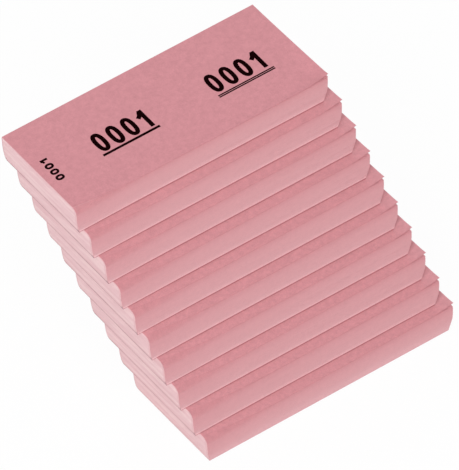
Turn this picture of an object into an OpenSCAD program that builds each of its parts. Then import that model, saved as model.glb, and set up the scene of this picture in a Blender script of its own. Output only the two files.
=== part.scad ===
// Numbered ticket pads in a stepped stack. A pad is a block of loose paper leaves that dried glue
// holds together at one short end. A leaf is a stub and two tickets, with a perforation between them.
// The first leaf of the top pad is free to turn, so it is made as these three pieces.
// +X runs along a leaf from the glued end to the free end, +Y to the back and +Z up. The origin is
// under the middle of the stack, on the surface that the stack stands on.

/* [Leaf] */
// Length of a leaf, from the glued end to the free end
leaf_length = 105; // [80:1:160]
// Width of a leaf
leaf_width = 42; // [30:1:80]
// Thickness of the paper
paper_thickness = 0.1; // [0.06:0.005:0.2]
// Air between one leaf and the next
leaf_gap = 0.012; // [0.008:0.001:0.03]
// Length of the stub that stays in the pad when the tickets are torn off
stub_length = 10; // [6:0.5:20]
// Length of the ticket next to the stub, and the rest of the leaf is the end ticket
middle_ticket_length = 47.5; // [20:0.5:55]

/* [Perforation] */
// Width of the cuts along a tear line
cut_width = 0.12; // [0.06:0.01:0.4]
// Length of one paper tie that bridges a tear line
tie_length = 0.5; // [0.3:0.05:1]
// Distance from one tie to the next
tie_pitch = 1.5; // [1.2:0.1:4]

/* [Pad] */
// Leaves in a pad
leaves_per_pad = 100; // [50:1:150]
// Thickness of the dried glue on the bound end
glue_thickness = 0.25; // [0.1:0.05:0.8]
// Radius of the eased top edge at the front of the bound end
eased_radius = 2.6; // [0.5:0.1:4.5]
// Length over which this eased edge runs out to a square one
eased_length = 32; // [10:1:60]
// How far the lowest leaf stops short of the free end
free_end_draw = 1.5; // [0.2:0.1:4]
// Height above the foot of a pad at which its leaves reach full length
free_end_rise = 5.2; // [1:0.1:5.3]

/* [Stack] */
// Pads in the stack
pad_count = 10; // [2:1:20]
// How far a pad lies to the right of the pad that lies on it
step_right = 3.3; // [0:0.05:6]
// How far a pad lies in front of the pad that lies on it
step_front = 4; // [0:0.1:6]

/* [Hidden] */
paper_pink = [0.83, 0.56, 0.59];
ticket_pink = [0.80, 0.52, 0.55];
dried_glue = [0.91, 0.79, 0.80];
// Straight pieces along the eased edge of one leaf
easing_steps = 4;
arc_facets = 96;

leaf_pitch = paper_thickness + leaf_gap;
pad_height = leaves_per_pad * leaf_pitch;
top_level = leaves_per_pad - 1;
block_height = pad_height - leaf_gap;

// A pad's own frame has its middle at x = y = 0 and its foot at z = 0.
pad_left = -(leaf_length + glue_thickness) / 2;
leaf_left = pad_left + glue_thickness;
leaf_right = leaf_left + leaf_length;
leaf_front = -leaf_width / 2;
leaf_back = leaf_width / 2;

// A tear line is named by the x of the edge that its ties meet.
stub_tear = leaf_left + stub_length;
end_tear = stub_tear + middle_ticket_length;

function pad_name(number) = str("pad_", number < 10 ? "0" : "", number);
function leaves_name(number) = str(pad_name(number), "_leaves");
function glue_name(number) = str(pad_name(number), "_glue");

// Pads are numbered from the top of the stack, as their tickets are.
function steps_from_middle(number) = number - (pad_count + 1) / 2;
function pad_place(number) = [
    steps_from_middle(number) * step_right,
    -steps_from_middle(number) * step_front,
    (pad_count - number) * pad_height
];

// How far the front edge of a leaf lies back at the bound end, on a quarter circle below the top leaf.
function setback(level) =
    let (above_arc_foot = eased_radius - (top_level - level) * leaf_pitch)
    above_arc_foot > 0 ? eased_radius - sqrt(pow(eased_radius, 2) - pow(above_arc_foot, 2)) : 0;

// How far a leaf stops short of the free end, on a straight slope above the foot of the pad.
function shortfall(level) = free_end_draw * max(0, 1 - level * leaf_pitch / free_end_rise);

// The front edge near the bound end, which runs out to a straight edge on a parabola.
function eased_edge(level) = [
    for (step = [0 : easing_steps])
        let (along = step / easing_steps)
        [leaf_left + eased_length * along, leaf_front + setback(level) * pow(1 - along, 2)]
];

function front_edge(level) = setback(level) > 0 ? eased_edge(level) : [[leaf_left, leaf_front]];

module leaf_outline(level) {
    free_end = leaf_right - shortfall(level);
    polygon(concat(front_edge(level), [[free_end, leaf_front], [free_end, leaf_back], [leaf_left, leaf_back]]));
}

module leaf(level) {
    translate([0, 0, level * leaf_pitch])
        linear_extrude(paper_thickness)
            leaf_outline(level);
}

// The pad's leaves, one solid each. The top pad's first leaf is made by its own modules.
module pad_leaves(number) {
    last_level = number == 1 ? top_level - 1 : top_level;
    color(paper_pink)
        translate(pad_place(number))
            for (level = [0 : last_level])
                leaf(level);
}

// Outline of the bound end, with y across the pad and z up.
module bound_end_outline() {
    translate([leaf_front, 0])
        square([leaf_width, block_height - eased_radius]);
    translate([leaf_front + eased_radius, 0])
        square([leaf_width - eased_radius, block_height]);
    translate([leaf_front + eased_radius, block_height - eased_radius])
        circle(eased_radius, $fn = arc_facets);
}

module pad_glue(number) {
    color(dried_glue)
        translate(pad_place(number) + [pad_left, 0, 0])
            rotate([90, 0, 90])
                linear_extrude(glue_thickness)
                    bound_end_outline();
}

module strip(from_x, to_x) {
    translate([from_x, leaf_front])
        square([to_x - from_x, leaf_width]);
}

// Ties of one tear line, spread evenly over the width of the leaf.
module ties(tear_x) {
    tie_gaps = floor((leaf_width - tie_length) / tie_pitch);
    row_start = -(tie_gaps * tie_pitch + tie_length) / 2;
    for (tie = [0 : tie_gaps])
        translate([tear_x, row_start + tie * tie_pitch])
            square([2 * cut_width, tie_length]);
}

// Lifts a flat outline to the place of the first leaf on the top pad.
module on_top_pad() {
    color(ticket_pink)
        translate(pad_place(1) + [0, 0, top_level * leaf_pitch])
            linear_extrude(paper_thickness)
                intersection() {
                    leaf_outline(top_level);
                    children();
                }
}

module top_leaf_stub() {
    on_top_pad() strip(leaf_left, stub_tear);
}

module top_leaf_middle_ticket() {
    on_top_pad() {
        union() {
            strip(stub_tear + cut_width, end_tear);
            ties(stub_tear);
        }
    }
}

module top_leaf_end_ticket() {
    on_top_pad() {
        union() {
            strip(end_tear + cut_width, leaf_right);
            ties(end_tear);
        }
    }
}

top_leaf_stub();
top_leaf_middle_ticket();
top_leaf_end_ticket();
for (number = [1 : pad_count]) {
    pad_leaves(number);
    pad_glue(number);
}
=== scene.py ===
import math
import bpy
import numpy as np
from mathutils import Matrix, Vector


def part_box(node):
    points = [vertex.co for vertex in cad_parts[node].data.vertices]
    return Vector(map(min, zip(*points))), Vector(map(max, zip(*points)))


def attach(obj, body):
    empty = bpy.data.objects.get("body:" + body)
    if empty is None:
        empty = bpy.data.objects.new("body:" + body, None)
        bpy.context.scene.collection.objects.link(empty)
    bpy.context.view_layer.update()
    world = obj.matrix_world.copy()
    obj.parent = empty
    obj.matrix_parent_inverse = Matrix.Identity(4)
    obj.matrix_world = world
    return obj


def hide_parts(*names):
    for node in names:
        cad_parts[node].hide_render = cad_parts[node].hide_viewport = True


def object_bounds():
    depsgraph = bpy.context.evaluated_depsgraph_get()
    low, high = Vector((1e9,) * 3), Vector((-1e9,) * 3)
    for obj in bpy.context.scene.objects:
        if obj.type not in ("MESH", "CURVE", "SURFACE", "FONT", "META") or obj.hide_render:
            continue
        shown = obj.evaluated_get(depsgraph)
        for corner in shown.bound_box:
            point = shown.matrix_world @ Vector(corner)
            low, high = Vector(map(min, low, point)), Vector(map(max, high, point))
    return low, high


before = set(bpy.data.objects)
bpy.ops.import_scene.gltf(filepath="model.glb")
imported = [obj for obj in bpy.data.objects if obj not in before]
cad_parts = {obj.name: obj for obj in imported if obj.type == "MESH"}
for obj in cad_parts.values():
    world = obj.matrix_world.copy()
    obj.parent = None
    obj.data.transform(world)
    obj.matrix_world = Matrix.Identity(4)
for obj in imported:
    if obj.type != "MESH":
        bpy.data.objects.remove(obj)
cad_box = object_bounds()


# Stack of pads. Ten pads of numbered tickets lie loose on one another, stepped to the right and to the
# front, with the first numbers on top. Each pad is measured from its own corner, where the foot of its
# leaves meets the glue at the front.
pad_names = sorted(name.removesuffix("_glue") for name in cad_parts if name.endswith("_glue"))
top_pad = pad_names[0]
glue_low, glue_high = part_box(top_pad + "_glue")
glue_thickness = glue_high.x - glue_low.x
block_height = glue_high.z - glue_low.z
leaf_width = glue_high.y - glue_low.y


def pad_corner(pad):
    """Corner of a pad, with x at the glue line, y at the front and z at the foot."""
    low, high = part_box(pad + "_glue")
    return np.array([high.x, low.y, low.z])


# Leaves of a pad. They are uncoated pink paper, trimmed together by a guillotine, so that their edges
# make a nearly flush face in which every leaf still shows. Only the glue at one end holds them.
stub_low, stub_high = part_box("top_leaf_stub")
free_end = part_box("top_leaf_end_ticket")[1].x
paper = stub_high.z - stub_low.z
leaf_gap = stub_low.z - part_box(top_pad + "_leaves")[1].z
leaf_pitch = paper + leaf_gap
leaf_length = free_end - stub_low.x
leaves_per_pad = round((block_height + leaf_gap) / leaf_pitch)

# The front edge is eased at the glue, and the lower leaves stop short at the free end.
MM = 0.001
eased_radius = 2.6 * MM
eased_length = 32 * MM
free_end_draw = 1.5 * MM
free_end_rise = 5.2 * MM

# The upper front edge is worn back, the bound end leans in, and the foot is rounded.
worn_back = 0.3 * MM
worn_depth = 3.2 * MM
bound_lean = 1.4 * MM
corner_lean = 0.6 * MM
corner_round = 0.7 * MM
corner_rise = 2.2 * MM
foot_back = 0.1 * MM
foot_rise = 0.3 * MM

# Single leaves stand out a little from the trimmed faces.
groove_depth = 0.06 * MM
leaf_swing = 0.013 * MM
leaf_slip = 0.03 * MM
trim_roughness = 0.006 * MM
leaf_tone_spread = 0.009

# Mesh lines of a leaf: close together on its eased edge, and at shares of its length and width elsewhere.
eased_lines = 7
eased_crowding = 1.3
front_shares = np.array([0.5, 0.75, 1])
end_shares = np.array([0.35, 0.7])
back_shares = np.array([1, 0.65, 0.3, 0])
rows_per_leaf = 3


def drawn_back(most, distance, reach):
    """Quarter ellipse: the full draw at no distance, easing to nothing at the reach."""
    share = np.clip(1 - distance / reach, 0, 1)
    return most * (1 - np.sqrt(1 - share ** 2))


def eased_run_out(from_glue):
    """Share of the easing along a front edge: a parabola from 1 at the glue to 0."""
    return np.clip(1 - from_glue / eased_length, 0, None) ** 2


def eased_front(from_glue, depth):
    """Setback of a front edge near the glue: a quarter circle over the depth below the first leaf, which
    runs out along the edge."""
    return drawn_back(eased_radius, depth, eased_radius) * eased_run_out(from_glue)


def bound_end_lean(height):
    """How far the bound end leans in: a parabola from none at the first leaf to the most at the foot."""
    return bound_lean * (1 - height / block_height) ** 2


def back_corner_inset(height):
    """How far the back corner at the glue lies in front of the back: it grows evenly from none at the first
    leaf, and a quarter ellipse rounds it at the foot."""
    return corner_lean * (1 - height / block_height) + drawn_back(corner_round, height, corner_rise)


def leaf_outline():
    """Points round a leaf, along its front, up its free end and along its back, as their distances from the
    glue and from the front."""
    eased_x = eased_length * np.linspace(0, 1, eased_lines) ** eased_crowding
    front_x = np.append(eased_x, leaf_length * front_shares)
    end_y = leaf_width * end_shares
    back_x = leaf_length * back_shares
    along = np.concatenate([front_x, np.full(len(end_y), leaf_length), back_x])
    across = np.concatenate([np.zeros(len(front_x)), end_y, np.full(len(back_x), leaf_width)])
    return along, across


def leaf_block(leaves, seed):
    """Closed surface of a block of leaves. Its rows go up the block, with a lower rim, an upper rim and a
    groove for each leaf, and its columns go round the outline. A rim is the leaf's rectangle, less the
    setbacks of its edges, plus a small slide of its own. Returns the rows and a tone for each row."""
    chance = np.random.default_rng(seed)
    along, across = leaf_outline()
    at_front = across == 0
    at_back = across == leaf_width
    at_end = along == leaf_length
    at_glue = along == 0

    height = leaf_pitch * np.arange(leaves)[:, None]
    depth = block_height - height - paper
    setback = eased_front(along, depth) + drawn_back(worn_back, depth, worn_depth)
    setback = setback + drawn_back(foot_back, height, foot_rise)
    swing = chance.normal(0, leaf_swing, (leaves, 1)) * along / leaf_length
    slip = chance.normal(0, leaf_slip, (leaves, 1))
    rough = chance.normal(0, trim_roughness, (leaves, len(along)))
    shortfall = free_end_draw * np.clip(1 - height / free_end_rise, 0, None)
    inset = (at_back & at_glue) * back_corner_inset(height)
    x = along - at_end * (shortfall + slip + rough) + at_glue * bound_end_lean(height)
    y = across + at_front * (setback + rough) - at_back * rough + swing - inset

    next_x = np.roll(x, -1, axis=0)
    next_y = np.roll(y, -1, axis=0)
    groove_x = np.where(at_end, np.minimum(x, next_x) - groove_depth, x)
    groove_y = np.where(at_front, np.maximum(y, next_y) + groove_depth, y)
    groove_y = np.where(at_back, np.minimum(y, next_y) - groove_depth, groove_y)
    flat = np.ones(len(along))
    low_rim = np.stack([x, y, height * flat], axis=-1)
    high_rim = np.stack([x, y, (height + paper) * flat], axis=-1)
    groove = np.stack([groove_x, groove_y, (height + paper + leaf_gap / 2) * flat], axis=-1)
    rows = np.stack([low_rim, high_rim, groove], axis=1).reshape(-1, len(along), 3)[:-1]
    tone = np.repeat(chance.normal(1, leaf_tone_spread, leaves), rows_per_leaf)[:-1]
    return rows, tone


def block_faces(rows):
    """Faces between the rows, a foot and a top. Each face's kind is 1 on a leaf's cut edge, else 0."""
    row_count, around = rows.shape[:2]
    here = np.arange(row_count * around).reshape(row_count, around)
    beside = np.roll(here, -1, axis=1)
    walls = np.stack([here[:-1], beside[:-1], beside[1:], here[1:]], axis=-1)
    kinds = np.repeat(np.arange(row_count - 1) % rows_per_leaf == 0, around)
    faces = walls.reshape(-1, 4).tolist() + [here[0, ::-1].tolist(), here[-1].tolist()]
    return faces, np.append(kinds, [0, 0]).astype(np.int32)


sharp_angle = math.radians(25)


def add_piece(name, points, faces, materials, kinds=None, **point_values):
    """A mesh object from arrays of points and faces, with a material number for each face and any named
    values for each point."""
    mesh = bpy.data.meshes.new(name)
    mesh.from_pydata(points.reshape(-1, 3).tolist(), [], faces)
    for material in materials:
        mesh.materials.append(material)
    if kinds is not None:
        mesh.polygons.foreach_set("material_index", kinds)
    for value_name, values in point_values.items():
        layer = mesh.attributes.new(value_name, "FLOAT", "POINT")
        layer.data.foreach_set("value", np.ascontiguousarray(values, np.float32).ravel())
    mesh.shade_smooth()
    mesh.set_sharp_from_angle(angle=sharp_angle)
    mesh.update()
    piece = bpy.data.objects.new(name, mesh)
    bpy.context.scene.collection.objects.link(piece)
    return piece


def colour(red, green, blue):
    """Colour of a screen value from 0 to 255, as linear light: the standard screen curve, a power above a
    short straight part."""
    screen = np.array([red, green, blue]) / 255
    linear = np.where(screen <= 0.04045, screen / 12.92, ((screen + 0.055) / 1.055) ** 2.4)
    return (*linear.tolist(), 1)


# Each layer of the grain has an input for its amount, a number of spots to the metre and a fineness.
grain_layers = (("Clouds", 620, 3), ("Fibres", 2600, 5))
noise_mean = 0.5
fibre_relief = 0.05 * MM
paper_specular = 0.25


def maths(tree, operation, *values):
    """Result of an operation on values in turn, each a constant or a socket, as an output socket."""
    node = tree.nodes.new("ShaderNodeMath")
    node.operation = operation
    for value, socket in zip(values, node.inputs):
        if isinstance(value, bpy.types.NodeSocket):
            tree.links.new(value, socket)
        else:
            socket.default_value = value
    return node.outputs[0]


def noise(tree, place, per_metre, fineness):
    """Noise at a place, with a number of spots to the metre, as an output socket."""
    node = tree.nodes.new("ShaderNodeTexNoise")
    node.inputs["Scale"].default_value = per_metre
    node.inputs["Detail"].default_value = fineness
    tree.links.new(place, node.inputs["Vector"])
    return node.outputs["Fac"]


def paper_grain_group():
    """Grain of uncoated paper. Tone is 1 plus each layer's noise about its mean times the layer's amount,
    from wide clouds of pulp to fine fibres, and Height is the fibres' relief."""
    group = bpy.data.node_groups.new("paper_grain", "ShaderNodeTree")
    for socket, _, _ in grain_layers:
        group.interface.new_socket(socket, in_out="INPUT", socket_type="NodeSocketFloat")
    for socket in ("Tone", "Height"):
        group.interface.new_socket(socket, in_out="OUTPUT", socket_type="NodeSocketFloat")
    amounts = group.nodes.new("NodeGroupInput")
    result = group.nodes.new("NodeGroupOutput")
    place = group.nodes.new("ShaderNodeTexCoord")
    tone = 1
    for socket, per_metre, fineness in grain_layers:
        spots = noise(group, place.outputs["Object"], per_metre, fineness)
        centred = maths(group, "SUBTRACT", spots, noise_mean)
        tone = maths(group, "MULTIPLY_ADD", centred, amounts.outputs[socket], tone)
    group.links.new(tone, result.inputs["Tone"])
    group.links.new(spots, result.inputs["Height"])
    return group


paper_grain = paper_grain_group()


def grained_material(name, clouds, fibres, roughness, bump):
    """A material with paper grain. Returns it with its shader and its grain node."""
    material = bpy.data.materials.new(name)
    material.use_nodes = True
    nodes = material.node_tree.nodes
    links = material.node_tree.links
    shader = nodes["Principled BSDF"]
    shader.inputs["Roughness"].default_value = roughness
    shader.inputs["Specular IOR Level"].default_value = paper_specular
    grain = nodes.new("ShaderNodeGroup")
    grain.node_tree = paper_grain
    grain.inputs["Clouds"].default_value = clouds
    grain.inputs["Fibres"].default_value = fibres
    relief = nodes.new("ShaderNodeBump")
    relief.inputs["Strength"].default_value = bump
    relief.inputs["Distance"].default_value = fibre_relief
    links.new(grain.outputs["Height"], relief.inputs["Height"])
    links.new(relief.outputs["Normal"], shader.inputs["Normal"])
    return material, shader, grain


def toned(tree, shade, *tones):
    """Colour times each tone in turn, as an output socket. The shade is a fixed colour or a socket."""
    for tone in tones:
        scaled = tree.nodes.new("ShaderNodeVectorMath")
        scaled.operation = "SCALE"
        if isinstance(shade, tuple):
            scaled.inputs["Vector"].default_value = shade[:3]
        else:
            tree.links.new(shade, scaled.inputs["Vector"])
        tree.links.new(tone, scaled.inputs["Scale"])
        shade = scaled.outputs["Vector"]
    return shade


def point_value(tree, name):
    """A named value of the mesh's points, as an output socket."""
    node = tree.nodes.new("ShaderNodeAttribute")
    node.attribute_name = name
    return node.outputs["Fac"]


def colour_ramp(tree, value, stops):
    """Colour that follows a value through stops of (value, colour), as an output socket."""
    ramp = tree.nodes.new("ShaderNodeValToRGB")
    elements = ramp.color_ramp.elements
    while len(elements) < len(stops):
        elements.new(1)
    for element, (position, stop_colour) in zip(elements, stops):
        element.position = position
        element.color = stop_colour
    tree.links.new(value, ramp.inputs["Fac"])
    return ramp.outputs["Color"]


def paper_face_material(name, pulp_colour):
    """Flat side of the pink paper: soft clouds of darker and lighter pulp."""
    material, shader, grain = grained_material(name, clouds=0.28, fibres=0.32, roughness=0.85, bump=0.35)
    tree = material.node_tree
    pulp = toned(tree, pulp_colour, grain.outputs["Tone"])
    tree.links.new(pulp, shader.inputs["Base Color"])
    return material


def leaf_edge_material():
    """Cut edges of the stacked leaves, by their depth in the pad: the darker pink of the flat side under
    the first leaf, which is painted shade, then paler down to a pale band of painted highlight, and a dark
    line of painted shadow at the foot, where the pad below meets it. Each leaf has its own tone."""
    material, shader, grain = grained_material(
        "pink_paper_edges", clouds=0.06, fibres=0.10, roughness=0.9, bump=0.5,
    )
    tree = material.node_tree
    # Painted shade: darker under the first leaf, and a dark line at the foot where the pad below meets it.
    # Painted highlight: the pale band just above that line.
    stops = (
        (0.00, colour(205, 140, 146)),
        (0.05, colour(209, 147, 153)),
        (0.14, colour(212, 153, 158)),
        (0.36, colour(215, 159, 164)),
        (0.60, colour(216, 163, 168)),
        (0.78, colour(219, 170, 175)),
        (0.86, colour(229, 184, 188)),
        (0.93, colour(242, 200, 203)),
        (0.955, colour(192, 124, 131)),
        (1.00, colour(182, 110, 118)),
    )
    pulp = colour_ramp(tree, point_value(tree, "edge_depth"), stops)
    pulp = toned(tree, pulp, point_value(tree, "leaf_tone"), grain.outputs["Tone"])
    tree.links.new(pulp, shader.inputs["Base Color"])
    return material


paper_face = paper_face_material("pink_paper_face", colour(211, 144, 151))
# The covered leaves are a little paler than the top leaf: painted light against the shade on the strips and
# leaf steps under the pads above.
covered_face_painted_light = paper_face_material("pink_paper_covered_face", colour(213, 153, 159))
leaf_edges = leaf_edge_material()
# Painted light added to the colour of the eased edge.
eased_painted_light = 0.1
# The lowest pad's edges stop short of the painted shadow line at the foot.
lowest_foot_depth = 0.8


def edge_depths(rows, deepest):
    """Depth of the leaf edges for their colour, from 0 at the first leaf to 1 at the foot, and no more than
    the deepest. Where the edge is eased it goes over to its square, plus a small share of the rest, which
    is painted light against the shade in the leaf steps there."""
    run_out = eased_run_out(rows[..., 0])
    depth = (1 - rows[..., 2] / block_height) ** (1 + run_out)
    return np.minimum(depth + eased_painted_light * run_out * (1 - depth), deepest)


# One loose leaf lies on a block, and two on the top one. The lowest pad has no painted shadow line at its
# foot.
for number, pad in enumerate(pad_names, start=1):
    loose_leaves = 2 if pad == top_pad else 1
    rows, tone = leaf_block(leaves_per_pad - loose_leaves, seed=number)
    faces, kinds = block_faces(rows)
    # The depth is capped on the lowest pad, so it gets no painted shadow line at its foot.
    deepest = lowest_foot_depth if pad == pad_names[-1] else 1
    # Blocks take the paler face, which is painted light.
    block = add_piece(
        pad + "_leaf_block", rows + pad_corner(pad), faces, [covered_face_painted_light, leaf_edges], kinds,
        edge_depth=edge_depths(rows, deepest), leaf_tone=np.repeat(tone, rows.shape[1]),
    )
    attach(block, pad)
    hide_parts(pad + "_leaves")


# Dried glue on the bound end. It is a brushed film of padding glue, whitish over the pink leaf edges,
# thinner towards its rim, and dark with painted shadow at the foot, where the pad below meets it. It
# follows the eased front edge of the pad.
glue_rows_below_arc = 14
glue_rows_on_arc = 12
glue_columns = 40
glue_thinnest = 0.3
glue_rim = 0.7 * MM
brush_waves = ((2, 1), (3, 4), (5, 7), (9, 3))
brush_share = 0.14
# Painted shadow darkens the film's foot up to this height, and the lowest pad keeps most of its cover
# there.
foot_shade_height = 2.2 * MM
thinnest_cover = 0.4
lowest_foot_cover = 0.8
first_glue_seed = 101


def cut_sheet(upper, lower, keep):
    """Closed sheet between two grids of points. A kept cell has an upper and a lower face, and a wall
    stands where it meets a dropped cell or the rim. Each face's kind is 1 on a wall, else 0."""
    size = upper.shape[0] * upper.shape[1]
    top = np.arange(size).reshape(upper.shape[:2])
    low = top + size
    corners = [np.s_[:-1, :-1], np.s_[1:, :-1], np.s_[1:, 1:], np.s_[:-1, 1:]]
    around = [(top[corner], low[corner]) for corner in corners]
    (top_a, low_a), (top_b, low_b), (top_c, low_c), (top_d, low_d) = around
    ringed = np.pad(keep, 1)
    sides = (
        (ringed[1:-1, :-2], (low_a, low_b, top_b, top_a)),
        (ringed[2:, 1:-1], (low_b, low_c, top_c, top_b)),
        (ringed[1:-1, 2:], (low_c, low_d, top_d, top_c)),
        (ringed[:-2, 1:-1], (low_d, low_a, top_a, top_d)),
    )
    upper_ids = (top_a, top_b, top_c, top_d)
    lower_ids = (low_d, low_c, low_b, low_a)
    flat = [np.stack(ids, axis=-1)[keep] for ids in (upper_ids, lower_ids)]
    walls = [np.stack(ids, axis=-1)[keep & ~neighbour] for neighbour, ids in sides]
    faces = np.concatenate(flat + walls)
    kinds = np.repeat([0, 1], [sum(map(len, flat)), sum(map(len, walls))]).astype(np.int32)
    used, faces = np.unique(faces, return_inverse=True)
    points = np.concatenate([upper.reshape(-1, 3), lower.reshape(-1, 3)])[used]
    return points, faces.reshape(-1, 4).tolist(), kinds


def glue_film(seed, foot_cover):
    """Film on the bound end. Its rows go up and its columns go from front to back. The inner side follows
    the lean of the leaves. The outer side lies out by the thickness, which thins to the rim on a quarter
    ellipse and ripples with the brush in a few sine waves. The cover grows evenly with the thickness, and
    below the foot shade height it falls evenly with the height, to no less than its share at the foot: this
    fall is painted shadow where the pad below meets the film."""
    chance = np.random.default_rng(seed)
    below_arc = np.linspace(0, block_height - eased_radius, glue_rows_below_arc)
    below_arc = np.insert(below_arc, np.searchsorted(below_arc, foot_shade_height), foot_shade_height)
    arc_turn = np.linspace(0, np.pi / 2, glue_rows_on_arc)[1:]
    up = np.append(below_arc, block_height - eased_radius * (1 - np.sin(arc_turn)))[:, None]
    front = eased_front(0, block_height - up)
    lean = bound_end_lean(up)
    back = leaf_width - back_corner_inset(up)
    across = np.linspace(0, 1, glue_columns)
    y = front + (back - front) * across
    to_rim = np.minimum(np.minimum(y - front, back - y), np.minimum(up, block_height - up))
    fullness = 1 - drawn_back(1, to_rim, glue_rim) * (1 - glue_thinnest)
    ripple = np.zeros_like(y)
    for waves_across, waves_up in brush_waves:
        phase = chance.uniform(0, 2 * np.pi)
        turns = waves_across * y / leaf_width + waves_up * up / block_height
        ripple += np.sin(2 * np.pi * turns + phase) / len(brush_waves)
    thickness = glue_thickness * fullness * (1 - brush_share + brush_share * ripple)
    outer = np.stack([lean - thickness, y, up + 0 * y], axis=-1)
    inner = np.stack([lean + 0 * y, y, up + 0 * y], axis=-1)
    cover = thinnest_cover + (1 - thinnest_cover) * thickness / glue_thickness
    return outer, inner, cover * np.clip(up / foot_shade_height, foot_cover, 1)


# Each layer of level streaks has a number to the metre of height and an amount.
streak_layers = ((520, 0.66), (3200, 0.3))
streaks_along = 30
streak_fineness = 2


def dried_glue_material():
    """Whitish glue film, by its cover: pinker where it is thin, and dark pink at the foot, which is painted
    shadow where the pad below meets it. Level streaks, wide and fine, are where leaf edges show through it."""
    material, shader, grain = grained_material(
        "dried_glue_film", clouds=0.08, fibres=0.06, roughness=0.6, bump=0.2,
    )
    tree = material.node_tree
    place = tree.nodes.new("ShaderNodeTexCoord")
    cover = point_value(tree, "film_cover")
    for per_metre, amount in streak_layers:
        stretch = tree.nodes.new("ShaderNodeMapping")
        stretch.inputs["Scale"].default_value = (streaks_along, streaks_along, per_metre)
        tree.links.new(place.outputs["Object"], stretch.inputs["Vector"])
        streaks = noise(tree, stretch.outputs["Vector"], 1, streak_fineness)
        centred = maths(tree, "SUBTRACT", streaks, noise_mean)
        cover = maths(tree, "MULTIPLY_ADD", centred, amount, cover)
    # The stop at no cover is the painted shadow at the foot of the film.
    stops = (
        (0.00, colour(146, 86, 97)),
        (0.58, colour(227, 183, 186)),
        (0.77, colour(226, 184, 188)),
        (0.92, colour(232, 194, 197)),
        (1.00, colour(237, 203, 204)),
    )
    film = colour_ramp(tree, cover, stops)
    film = toned(tree, film, grain.outputs["Tone"])
    tree.links.new(film, shader.inputs["Base Color"])
    return material


dried_glue = dried_glue_material()

for seed, pad in enumerate(pad_names, start=first_glue_seed):
    # The lowest pad gets little of the painted shadow at its film's foot.
    foot_cover = lowest_foot_cover if pad == pad_names[-1] else 0
    outer, inner, cover = glue_film(seed, foot_cover)
    whole_film = np.ones((len(outer) - 1, glue_columns - 1), bool)
    points, faces, _ = cut_sheet(outer, inner, whole_film)
    film = add_piece(
        pad + "_glue_film", points + pad_corner(pad), faces, [dried_glue],
        film_cover=np.concatenate([cover, cover]),
    )
    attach(film, pad)
    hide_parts(pad + "_glue")


# First leaf of each pad, and the leaf under it on the top pad. A leaf is a stub and two tickets with a
# perforated tear line between them. Handling has raised its front edge and the corner of its free end.
stub_tear = stub_high.x - stub_low.x
end_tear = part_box("top_leaf_middle_ticket")[1].x - stub_low.x
tie_length = 0.5 * MM
tie_pitch = 1.5 * MM
cut_width = 0.018 * MM

# The front edge is raised up to its lift, and the free end up to the lift of its front corner.
front_lift = 0.22 * MM
lift_start = 24 * MM
lift_depth = 3.6 * MM
crease_reach = 5 * MM
corner_lift = 1.6 * MM
corner_reach = 10 * MM
end_clearance = 0.4 * MM
step_right, step_front = np.abs(pad_corner(pad_names[1]) - pad_corner(top_pad))[:2]
end_reach = step_right + free_end_draw - end_clearance
curl_power = 1.5
curl_fade = 1.4
second_leaf_lift = 0.3


def leaf_lift(from_glue, from_front):
    """Height of the raised leaf. The front edge rises evenly towards the free end, apart from a dip where
    the tear line holds it down, and falls to nothing on a parabola behind it. The free end curls up by a
    power of the nearness to it, over a reach that widens in front of the pad above, times a power of the
    nearness to the front."""
    rise = np.clip((from_glue - lift_start) / (leaf_length - lift_start), 0, 1)
    held_down = np.clip(np.abs(from_glue - end_tear) / crease_reach, 0, 1)
    edge = front_lift * rise * held_down * np.clip(1 - from_front / lift_depth, 0, None) ** 2
    reach = end_reach + (corner_reach - end_reach) * np.clip(1 - from_front / step_front, 0, None)
    to_end = np.clip(1 - (leaf_length - from_glue) / reach, 0, None)
    to_front = np.clip(1 - from_front / leaf_width, 0, None)
    return edge + corner_lift * to_end ** curl_power * to_front ** curl_fade


def ruled(*stops):
    """Lines from stop to stop, where each stop is (end, number of steps to it), from 0."""
    lines = [np.zeros(1)]
    for end, steps in stops:
        lines.append(np.linspace(lines[-1][-1], end, steps + 1)[1:])
    return np.concatenate(lines)


# Grid lines of a leaf, and which of its cells are paper and not a cut of a tear line.
leaf_x = ruled(
    (stub_tear, 6), (stub_tear + cut_width, 1), (eased_length, 6), (end_tear, 5),
    (end_tear + cut_width, 1), (leaf_length - corner_reach, 8), (leaf_length, 14),
)
tie_gaps = math.floor((leaf_width - tie_length) / tie_pitch)
tie_start = (leaf_width - tie_gaps * tie_pitch - tie_length) / 2
tie_front = tie_start + tie_pitch * np.arange(tie_gaps + 1)
leaf_y = np.unique(np.concatenate([[0, leaf_width], tie_front, tie_front + tie_length]))
mid_x = (leaf_x[1:] + leaf_x[:-1]) / 2
mid_y = (leaf_y[1:] + leaf_y[:-1]) / 2
in_tie = (mid_y - tie_start) % tie_pitch < tie_length
past_tear = mid_x[:, None] - np.array([stub_tear, end_tear])
in_cut = ((past_tear > 0) & (past_tear < cut_width)).any(axis=1)
whole_leaf = ~in_cut[:, None] | in_tie


def leaf_sheet(keep, level, lift_share):
    """One leaf as a thin sheet at its level in the pad, with the kept cells of its grid. The front edge is
    set back near the glue, and the sheet is raised by a share of the lift."""
    from_glue = leaf_x[:, None] + 0 * leaf_y
    depth = block_height - level * leaf_pitch - paper
    front = eased_front(from_glue, depth)
    from_front = (leaf_width - front) * leaf_y / leaf_width
    height = level * leaf_pitch + lift_share * leaf_lift(from_glue, from_front)
    lower = np.stack([from_glue, front + from_front, height], axis=-1)
    upper = lower + np.array([0, 0, paper])
    return cut_sheet(upper, lower, keep)


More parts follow.
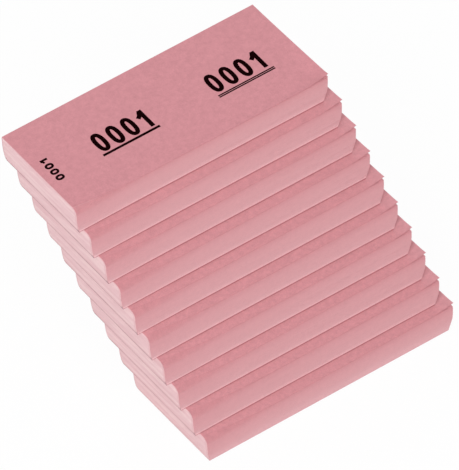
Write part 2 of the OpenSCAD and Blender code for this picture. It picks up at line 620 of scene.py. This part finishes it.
def add_leaf(name, pad, body, keep, level, lift_share, node):
    """Makes one loose leaf, or a part of it, and fixes it to its body."""
    # Leaves under others take the paler face, which is painted light.
    face = covered_face_painted_light if node.endswith("_leaves") else paper_face
    points, faces, kinds = leaf_sheet(keep, level, lift_share)
    sheet = add_piece(
        name, points + pad_corner(pad), faces, [face, leaf_edges], kinds, leaf_tone=np.ones(len(points)),
    )
    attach(sheet, body)
    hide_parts(node)


first_level = leaves_per_pad - 1
for pad in pad_names[1:]:
    add_leaf(pad + "_first_leaf", pad, pad, whole_leaf, first_level, 1, pad + "_leaves")
add_leaf(
    top_pad + "_second_leaf", top_pad, top_pad, whole_leaf, first_level - 1, second_leaf_lift,
    top_pad + "_leaves",
)
for node, start, stop in (
    ("top_leaf_stub", 0, stub_tear),
    ("top_leaf_middle_ticket", stub_tear, end_tear),
    ("top_leaf_end_ticket", end_tear, leaf_length),
):
    in_part = (mid_x > start) & (mid_x < stop)
    add_leaf(node + "_paper", top_pad, node, whole_leaf & in_part[:, None], first_level, 1, node)


# Numbers. They are printed in black by a numbering machine: upright on the two tickets, the first with one
# rule under it and the second with two, and small on the stub, turned to read from the front to the back.
ink_sink = 0.002 * MM
ink_height = 0.005 * MM
ink_step = 0.002 * MM
ink_specular = 0.01
arc_steps = 28
oval_steps = 2 * arc_steps
oval_power = 2.4


def arc(centre_x, centre_y, radius_x, radius_y, start, stop):
    """Points of an oval arc between two angles in degrees, in shares of the digit's box."""
    turn = np.radians(np.linspace(start, stop, arc_steps))
    return np.stack([centre_x + radius_x * np.cos(turn), centre_y + radius_y * np.sin(turn)], axis=-1)


def oval(centre_y, radius_x, radius_y):
    """Points of a closed oval with slightly straightened sides, a superellipse of the oval power."""
    turn = 2 * np.pi * np.arange(oval_steps) / oval_steps
    side = np.sign(np.cos(turn)) * np.abs(np.cos(turn)) ** (2 / oval_power)
    rise = np.sign(np.sin(turn)) * np.abs(np.sin(turn)) ** (2 / oval_power)
    return np.stack([0.5 + radius_x * side, centre_y + radius_y * rise], axis=-1)


def straight(*points):
    """Points of a stroke that runs straight from each point to the next."""
    return np.array(points, float)


def hook(upside_down):
    """The open stroke of a 6, or of a 9 upside down: over the top and down the side."""
    path = np.concatenate([arc(0.5, 0.68, 0.5, 0.32, 35, 180), straight((0, 0.24))])
    return 1 - path if upside_down else path


# Strokes of each digit, in shares of its box.
digit_strokes = {
    "0": [oval(0.5, 0.5, 0.5)],
    "1": [straight((0.66, -0.1), (0.66, 1.1)), straight((-0.1, 0.66), (0.28, 0.79), (0.6, 1.02))],
    "2": [
        np.concatenate([arc(0.5, 0.7, 0.48, 0.3, 165, -25), straight((0.06, 0.03))]),
        straight((-0.14, 0), (1.1, 0)),
    ],
    "3": [arc(0.48, 0.745, 0.44, 0.255, 160, -90), arc(0.48, 0.25, 0.5, 0.25, 90, -160)],
    "4": [
        straight((0.74, -0.07), (0.74, 1.07)),
        straight((-0.1, 0.26), (1.14, 0.26)),
        straight((0, 0.26), (0.7, 1)),
    ],
    "5": [
        straight((0.1, 1), (1, 1)),
        straight((0.14, 1), (0.04, 0.52)),
        arc(0.48, 0.32, 0.52, 0.32, 150, -160),
    ],
    "6": [oval(0.3, 0.5, 0.3), hook(False)],
    "7": [straight((-0.14, 1), (1.1, 1)), straight((0.98, 1), (0.58, 0.5), (0.36, -0.07))],
    "8": [oval(0.755, 0.44, 0.245), oval(0.26, 0.5, 0.26)],
    "9": [oval(0.7, 0.5, 0.3), hook(True)],
}


def ink_bar(path, width, height):
    """Flat bar of ink along a path: an upright rectangle, square to the path, at each of its points. A path
    with the number of points of an oval is closed."""
    closed = len(path) == oval_steps
    if closed:
        ahead = np.roll(path, -1, axis=0) - np.roll(path, 1, axis=0)
    else:
        ahead = np.gradient(path, axis=0)
    left = np.stack([-ahead[:, 1], ahead[:, 0]], axis=-1) / np.linalg.norm(ahead, axis=1)[:, None]
    shift = left * width / 2
    level = np.full((len(path), 1), height)
    sunk = np.full((len(path), 1), -ink_sink)
    rings = np.stack([
        np.hstack([path - shift, sunk]), np.hstack([path - shift, level]),
        np.hstack([path + shift, level]), np.hstack([path + shift, sunk]),
    ], axis=1)
    here = np.arange(rings.size // 3).reshape(-1, 4)
    there = np.roll(here, -1, axis=0)
    sides = np.stack([here, there, np.roll(there, -1, axis=1), np.roll(here, -1, axis=1)], axis=-1)
    if closed:
        return rings.reshape(-1, 3), sides.reshape(-1, 4)
    faces = np.concatenate([sides[:-1].reshape(-1, 4), here[:1], here[-1:, ::-1]])
    return rings.reshape(-1, 3), faces


def number_bars(text, size, start, turned):
    """Bars of a number. The size is (height, width, pitch, stroke), the start is the middle of the first
    digit's foot on the leaf, and a turned number reads from front to back. Each stroke of a digit lies a
    step higher than the one before it."""
    height, width, pitch, stroke = size
    bars = []
    for place, digit in enumerate(text):
        for crossing, path in enumerate(digit_strokes[digit]):
            line = path * np.array([width - stroke, height - stroke]) + stroke / 2
            line = line + np.array([place * pitch - width / 2, 0])
            if turned:
                line = np.stack([-line[:, 1], line[:, 0]], axis=-1)
            bars.append((line + np.array(start), stroke, ink_height + crossing * ink_step))
    return bars


def number_ink_material():
    """Black numbering ink, a little brown and thinner in spots where the paper's fibres took less."""
    material, shader, grain = grained_material(
        "number_ink", clouds=0.6, fibres=1.2, roughness=0.8, bump=0.25,
    )
    shader.inputs["Specular IOR Level"].default_value = ink_specular
    tree = material.node_tree
    film = toned(tree, colour(17, 1, 2), grain.outputs["Tone"])
    tree.links.new(film, shader.inputs["Base Color"])
    return material


number_ink = number_ink_material()

# Digits have (height, width, pitch, stroke), starts (x, y), and rules (first x, last x, y, width).
ticket_digits = (8.9 * MM, 4.65 * MM, 6.15 * MM, 1.65 * MM)
stub_digits = (3.3 * MM, 2.55 * MM, 3.05 * MM, 0.9 * MM)
middle_start = (25.25 * MM, 16.3 * MM)
end_start = (72.35 * MM, 15.9 * MM)
stub_start = (6.55 * MM, 15.8 * MM)
middle_rules = ((22.4 * MM, 45.95 * MM, 15.23 * MM, 1.0 * MM),)
end_rules = (
    (69.95 * MM, 93.4 * MM, 13.95 * MM, 0.55 * MM),
    (69.95 * MM, 93.4 * MM, 14.7 * MM, 0.55 * MM),
)


def rule_bars(rules):
    """Bars of the rules under a number, each from (first x, last x, y, width)."""
    return [(straight((first, y), (last, y)), width, ink_height) for first, last, y, width in rules]


def add_numbers(name, pad, body, level, bars):
    """Lays bars of ink on a leaf and fixes them to its body."""
    points = []
    faces = []
    count = 0
    for bar in bars:
        bar_points, bar_faces = ink_bar(*bar)
        points.append(bar_points)
        faces.append(bar_faces + count)
        count += len(bar_points)
    leaf_top = pad_corner(pad) + np.array([0, 0, level * leaf_pitch + paper])
    ink = add_piece(name, np.concatenate(points) + leaf_top, np.concatenate(faces).tolist(), [number_ink])
    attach(ink, body)


def leaf_bars(text):
    """The three numbers of a leaf and the rules under them, by part."""
    stub = number_bars(text, stub_digits, stub_start, turned=True)
    middle = number_bars(text, ticket_digits, middle_start, turned=False) + rule_bars(middle_rules)
    end = number_bars(text, ticket_digits, end_start, turned=False) + rule_bars(end_rules)
    return {"stub": stub, "middle_ticket": middle, "end_ticket": end}


for part, bars in leaf_bars("0001").items():
    add_numbers(f"top_leaf_{part}_number", top_pad, f"top_leaf_{part}", first_level, bars)
second_bars = sum(leaf_bars("0002").values(), [])
add_numbers(top_pad + "_second_leaf_numbers", top_pad, top_pad, first_level - 1, second_bars)
for number, pad in enumerate(pad_names[1:], start=1):
    text = f"{number * leaves_per_pad + 1:04d}"
    add_numbers(pad + "_numbers", pad, pad, first_level, sum(leaf_bars(text).values(), []))


# Studio. A wide pale floor under the stack, an even white room and two large soft lamps, a strong one at
# the front left, high over the glued ends, and a weak one at the back right. The floor and the room are
# white to the camera, with the stack's soft shadow.
floor_half = 4
floor_lines = 9
floor_drop = 0.2 * MM
floor_white = 0.94
floor_white_share = 0.95
room_strength = 0.46


def camera_white(tree):
    """1 where the camera sees a surface directly, in a reflection or through glass, else 0."""
    path = tree.nodes.new("ShaderNodeLightPath")
    seen = path.outputs["Is Camera Ray"]
    for kind in ("Is Glossy Ray", "Is Transmission Ray"):
        seen = maths(tree, "MAXIMUM", seen, path.outputs[kind])
    return seen


def floor_material():
    """Pale floor. The camera sees mostly plain white, with the rest of the light and the shadow on top."""
    material = bpy.data.materials.new("pale_floor")
    material.use_nodes = True
    tree = material.node_tree
    nodes = tree.nodes
    links = tree.links
    nodes.clear()
    surface = nodes.new("ShaderNodeBsdfDiffuse")
    surface.inputs["Color"].default_value = (floor_white, floor_white, floor_white, 1)
    white = nodes.new("ShaderNodeEmission")
    white.inputs["Strength"].default_value = 1
    share = maths(tree, "MULTIPLY", camera_white(tree), floor_white_share)
    blended = nodes.new("ShaderNodeMixShader")
    links.new(share, blended.inputs["Fac"])
    links.new(surface.outputs[0], blended.inputs[1])
    links.new(white.outputs[0], blended.inputs[2])
    result = nodes.new("ShaderNodeOutputMaterial")
    links.new(blended.outputs[0], result.inputs["Surface"])
    return material


floor_grid = np.linspace(-floor_half, floor_half, floor_lines)
floor_x, floor_y = np.meshgrid(floor_grid, floor_grid, indexing="ij")
floor_points = np.stack([floor_x, floor_y, np.full_like(floor_x, -floor_drop)], axis=-1)
floor_ids = np.arange(floor_x.size).reshape(floor_x.shape)
floor_corners = [floor_ids[:-1, :-1], floor_ids[1:, :-1], floor_ids[1:, 1:], floor_ids[:-1, 1:]]
floor_faces = np.stack(floor_corners, axis=-1).reshape(-1, 4).tolist()
floor = add_piece("floor", floor_points, floor_faces, [floor_material()])

# The room is full white to the camera, and lights the stack with less than that.
world = bpy.data.worlds.new("white_room")
bpy.context.scene.world = world
world.use_nodes = True
room = world.node_tree
background = room.nodes["Background"]
background.inputs["Color"].default_value = (1, 1, 1, 1)
strength = room.nodes.new("ShaderNodeMapRange")
strength.inputs["To Min"].default_value = room_strength
strength.inputs["To Max"].default_value = 1
room.links.new(camera_white(room), strength.inputs["Value"])
room.links.new(strength.outputs["Result"], background.inputs["Strength"])

# The lamps face the middle of the stack.
stack_middle = (cad_box[0] + cad_box[1]) / 2


def direction(azimuth, elevation):
    """Unit vector out from the stack, at an angle round it from the front, to the right, and an angle above
    the floor, in degrees."""
    around = math.radians(azimuth)
    above = math.radians(elevation)
    level = math.cos(above)
    return Vector((math.sin(around) * level, -math.cos(around) * level, math.sin(above)))


def soft_lamp(name, azimuth, elevation, distance, size, power):
    """Square lamp that faces the stack from a direction and a distance."""
    light = bpy.data.lights.new(name, "AREA")
    light.size = size
    light.energy = power
    lamp = bpy.data.objects.new(name, light)
    bpy.context.scene.collection.objects.link(lamp)
    out = direction(azimuth, elevation)
    lamp.location = stack_middle + out * distance
    lamp.rotation_euler = out.to_track_quat("Z", "Y").to_euler()


soft_lamp("key_lamp", azimuth=-42, elevation=42, distance=4, size=3, power=123)
soft_lamp("back_lamp", azimuth=138, elevation=25, distance=4, size=3, power=28)

# The camera stands far off at the front left and above, with a long lens, to see what the photo shows.
camera_azimuth = -38.3
camera_elevation = 47.069
camera_roll = math.radians(1.769)
camera_distance = 4.051
camera_aim = Vector((-1.719 * MM, -2.322 * MM, 58.61 * MM))
photo_long_side = 470
focal_pixels = 12000
sensor_width = 36
camera_data = bpy.data.cameras.new("photo_camera")
camera_data.sensor_width = sensor_width
camera_data.lens = sensor_width * focal_pixels / photo_long_side
camera = bpy.data.objects.new("photo_camera", camera_data)
bpy.context.scene.collection.objects.link(camera)
out = direction(camera_azimuth, camera_elevation)
level_right = direction(camera_azimuth + 90, 0)
level_up = out.cross(level_right)
right = math.cos(camera_roll) * level_right + math.sin(camera_roll) * level_up
up = out.cross(right)
turn = Matrix((right, up, out)).transposed().to_4x4()
camera.matrix_world = Matrix.Translation(camera_aim + out * camera_distance) @ turn
bpy.context.scene.camera = camera
bpy.context.scene.view_settings.view_transform = "Standard"
